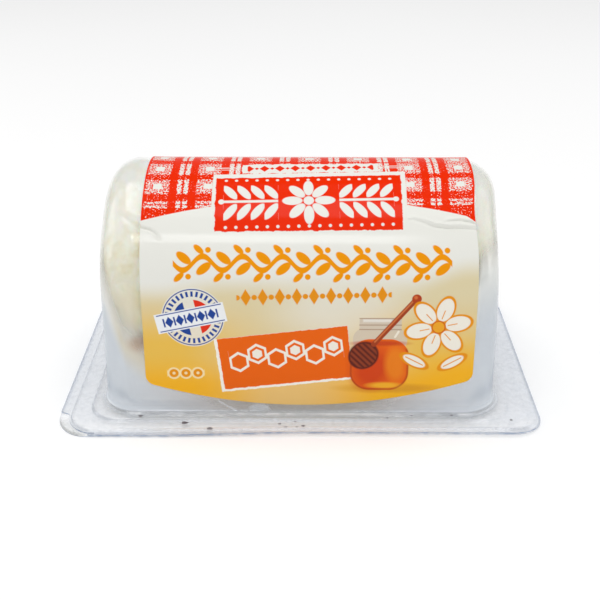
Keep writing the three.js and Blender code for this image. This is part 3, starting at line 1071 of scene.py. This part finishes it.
def paint_borders(ink, paint):
    """A golden vine with leaves and berries, and a row of lozenges under it."""
    x, v = ink.x, ink.v
    period = 7.2
    middle = 2.3
    level = 28.9
    swing = ((x - middle) * (2 * math.pi / period)).math("SINE")
    span = abs(x - middle) - 25.2
    paint(TITLE_GOLD, (abs(v - level - 1.25 * swing) - 0.55) * 0.8, span)
    within, _ = cell(x - middle, period / 2)
    rise = (v - level) * swing.math("SIGN")
    leaves = (((0.15, -0.95), 38, 1.6, 0.78), ((-0.75, 2.5), -42, 1.15, 0.55))
    for centre, degrees, half_x, half_v in leaves:
        leaf = oval(*ink.local(centre, degrees, within, rise), half_x, half_v)
        paint(TITLE_GOLD, leaf, span)
    paint(TITLE_GOLD, disc(within - 0.95, rise - 2.4, 0.52), span)
    dx, dv = ink.local((2.6, 22.95), 1.4)
    across, _ = cell(dx + 1.55, 3.1)
    spot = either(diamond(across, dv, 0.95, 1.6), disc(abs(across) - 1.55, dv, 0.5))
    paint(LINE_GOLD, spot, abs(dx) - 14.1)


def paint_roundel(ink, paint):
    """White disc with blue rim and ticks, three colour fields, and a white bar with lozenges."""
    dx, dv = ink.local((-19.55, 18.65), 12)
    reach = hypot(dx, dv)
    paint(WHITE, reach - 5.8, share=0.75)
    paint(BLUE, abs(reach - 5.5) - 0.1)
    _, aside = petals(dx, dv, 32)
    paint(BLUE, abs(aside) - 0.22, abs(reach - 4.65) - 0.5)
    paint(BLUE, reach - 3.55, dx + 1.1)
    paint((228, 48, 20), reach - 3.55, 0.9 - dx)
    dx = dx + 0.45
    bar = square(dx, dv, 6.5, 1.95)
    paint((240, 243, 246), bar)
    paint(BLUE, abs(abs(dv) - 1.62) - 0.1, abs(dx) - 6.1)
    across, _ = cell(dx + 1.0, 2.0)
    bars = square(abs(across) - 1.0, dv, 0.16, 0.85)
    paint(BLUE, either(diamond(across, dv, 0.78, 1.1), bars), abs(dx) - 5.2)
    # Three small rings under it
    dx, dv = ink.local((-21.3, 7.32), 1)
    across = nearest(dx, 2.25)
    for colour, radius in ((RING_PALE, 1.22), (LINE_GOLD, 0.86), (RING_PALE, 0.3)):
        paint(colour, disc(across, dv, radius), abs(dx) - 3.5)


def paint_sign(ink, paint):
    """Tilted orange sign with a torn white edge on two sides and a row of honeycomb cells."""
    dx, dv = ink.local((-2.67, 10.49), 6.6)
    fray = 0.45 * (ink.noise(ink.chart, 0.9, 2) - 0.5)
    paint((248, 244, 234), square(dx + 0.27, dv + 0.22, 12.4, 5.5) + fray)
    paint(ORANGE, square(dx, dv, 12.1, 5.25) + fray)
    across, odd = cell(dx + 10.4, 3.55)
    rise = dv - 0.8 - 1.3 * (odd - 0.5)
    hexagon = both(abs(rise) * 0.866 + abs(across) * 0.5, abs(across)) - 1.6
    span = abs(dx - 0.25) - 10.65
    paint(CREAM, abs(hexagon) - 0.24, span)
    paint(CREAM, hexagon + 0.7, span, 0.5 - odd)


def paint_pot(ink, paint):
    """Honey pot in flat shapes: amber body, pale glass neck, dark dipper and its stick."""
    v = ink.v
    paint((212, 146, 38), oval(*ink.local((17.0, 4.3)), 8.6, 0.9), share=0.7, soft=0.7)
    dx, dv = ink.local((14.85, 9.2))
    glass, line = (214, 200, 180), (168, 136, 110)
    paint(glass, box(dx, v - 14.3, 5.0, 2.4, 2.2), share=0.9)
    paint(glass, box(dx, v - 17.4, 3.85, 1.3, 0.5))
    paint((238, 234, 226), square(dx + 0.6, v - 18.2, 2.6, 0.3), share=0.8, soft=0.3)
    for height in (18.6, 17.3, 16.4):
        paint(line, square(dx, v - height, 3.9, 0.1), share=0.8)
    body = box(dx, dv, 5.45, 5.25, 3.6)
    paint((232, 100, 14), body)
    shade = disc(dx + 2.4, v - 8.6, 4.4)
    paint((206, 56, 14), body + 0.5, shade, share=0.8, soft=3.0)
    light = oval(dx - 3.0, v - 9.4, 1.9, 3.4)
    paint((238, 134, 24), body + 0.9, light, share=0.8, soft=1.2)
    paint((244, 176, 40), oval(dx - 1.1, v - 4.9, 3.0, 0.6), soft=0.5)
    paint((150, 52, 16), abs(body + 0.16) - 0.16, v - 12.5, share=0.6, soft=0.3)
    paint((196, 62, 20), oval(dx, v - 13.6, 4.7, 0.5), share=0.8, soft=0.4)
    head_x, head_v = ink.local((11.85, 11.1), 45)
    head = oval(head_x, head_v, 2.95, 2.7)
    paint((92, 34, 22), head, soft=0.3)
    paint((142, 58, 30), head + 0.35, 0.2 - nearest(head_x, 0.85), soft=0.25)
    paint((160, 62, 26), ink.capsule((13.7, 13.4), (20.9, 22.1), 0.5))
    paint((206, 112, 62), ink.capsule((13.9, 13.9), (20.6, 22.0), 0.16))
    paint((178, 62, 24), disc(*ink.local((21.28, 22.5)), 0.88))
    paint((216, 112, 56), disc(*ink.local((21.1, 22.75)), 0.32), soft=0.3)
    paint((246, 240, 226), ink.capsule((17.6, 14.9), (18.2, 16.0), 0.2), share=0.8)


def paint_blossom(ink, paint):
    """White six-petal blossom with golden outlines and two leaves."""
    for centre, degrees in (((21.3, 10.0), 152), ((28.4, 9.8), 30)):
        dx, dv = ink.local(centre, degrees)
        shape = oval(dx, dv, 2.7, 1.1)
        paint(CREAM, shape)
        paint(LINE_GOLD, abs(shape) - 0.17)
        paint(LINE_GOLD, square(dx, dv, 1.9, 0.1))
    dx, dv = ink.local((25.5, 16.9), 12)
    out, aside = petals(dx, dv, 6)
    shape = oval(out - 3.6, aside, 2.6, 1.62)
    paint(CREAM, shape)
    paint(LINE_GOLD, abs(shape) - 0.18)
    paint(LINE_GOLD, square(out - 2.6, aside, 0.9, 0.09))
    paint((240, 168, 40), disc(dx, dv, 1.25))
    paint((214, 110, 16), abs(hypot(dx, dv) - 1.2) - 0.15)


def paint_back(ink, paint):
    """A plain white panel with a thin golden outline on the side turned away."""
    dx, dv = ink.local((LABEL_OFFSET, SECTION_RUN - 18.5))
    panel = box(dx, dv, 24.0, 12.0, 1.5)
    paint(WHITE, panel)
    paint(TITLE_GOLD, abs(panel + 0.9) - 0.18)


def paper_back():
    graph = Graph("label_back", (236, 233, 226))
    vector, _ = graph.place()
    graph.lay(graph.noise(vector, 1.6, 3), (246, 244, 240))
    return graph.finish(0.6)


# Pieces
cover = make_cover(sheet_finish(), cut_finish("sheet_edge", (120, 142, 176), 0.75))
film = make_film(film_finish(), cut_finish("film_edge", (120, 138, 168), 0.7))
curd = make_log(curd_finish())
label = make_label([label_print(), paper_back()])
specks = make_specks(cover, dirt_finish())

for piece, node, slot_name in (
    (cover, "clear_cover", "clear_cover"),
    (film, "base_film", "base_film"),
    (curd, "cheese_log", "cheese"),
    (label, "wrap_label", "label"),
):
    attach(piece, "root")
    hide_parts(node)
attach(specks, "root")


# Floor, light and camera
FLOOR_REACH = 4.0
FLOOR_HEIGHT = -0.05 * MM
WORLD_STRENGTH = 0.52
FOCAL_LENGTH = 60.06
CAMERA_PLACE = (1.28, -182.97, 106.43)
CAMERA_TARGET = (-0.09, 0, 14.0)


def make_floor():
    graph = Graph("studio_floor", (0.93, 0.93, 0.93, 1))
    vector, _ = graph.place()
    graph.lay(graph.noise(vector, 0.004, 2), (0.96, 0.96, 0.96, 1))
    glow = {"Emission_Color": (1, 1, 1, 1), "Emission_Strength": 0.08}
    mesh = bpy.data.meshes.new("floor")
    signs = ((-1, -1), (1, -1), (1, 1), (-1, 1))
    corners = [(sx * FLOOR_REACH, sy * FLOOR_REACH, FLOOR_HEIGHT) for sx, sy in signs]
    mesh.from_pydata(corners, [], [(0, 1, 2, 3)])
    mesh.materials.append(graph.finish(0.9, Specular_IOR_Level=0.0, **glow))
    floor = add_object("floor", mesh)


def aim(thing, target):
    direction = Vector(target) * MM - thing.location
    thing.rotation_euler = direction.to_track_quat("-Z", "Y").to_euler()


def soft_box(name, place, target, width, height, power):
    light = bpy.data.lights.new(name, "AREA")
    light.shape = "RECTANGLE"
    light.size, light.size_y = width * MM, height * MM
    light.energy = power
    thing = add_object(name, light)
    thing.location = Vector(place) * MM
    aim(thing, target)


make_floor()
soft_box("front_box", (-22, -369, 437), (0, -10, 30), 200, 85, 0.5)
soft_box("top_box", (0, 60, 900), (0, 0, 0), 900, 700, 3.4)
soft_box("left_box", (-480, 60, 140), (-30, 0, 20), 320, 260, 0.3)
soft_box("right_box", (480, 60, 140), (30, 0, 20), 320, 260, 0.2)

world = bpy.data.worlds.new("studio")
world.use_nodes = True
sky = world.node_tree.nodes["Background"].inputs
sky["Color"].default_value = (1, 1, 1, 1)
sky["Strength"].default_value = WORLD_STRENGTH
bpy.context.scene.world = world

lens = bpy.data.cameras.new("camera")
lens.lens = FOCAL_LENGTH
lens.sensor_width = 36
lens.clip_start = 0.01
camera = add_object("camera", lens)
camera.location = Vector(CAMERA_PLACE) * MM
aim(camera, CAMERA_TARGET)
bpy.context.scene.camera = camera

bpy.context.scene.view_settings.view_transform = "Standard"
bpy.context.scene.cycles.transparent_max_bounces = 32
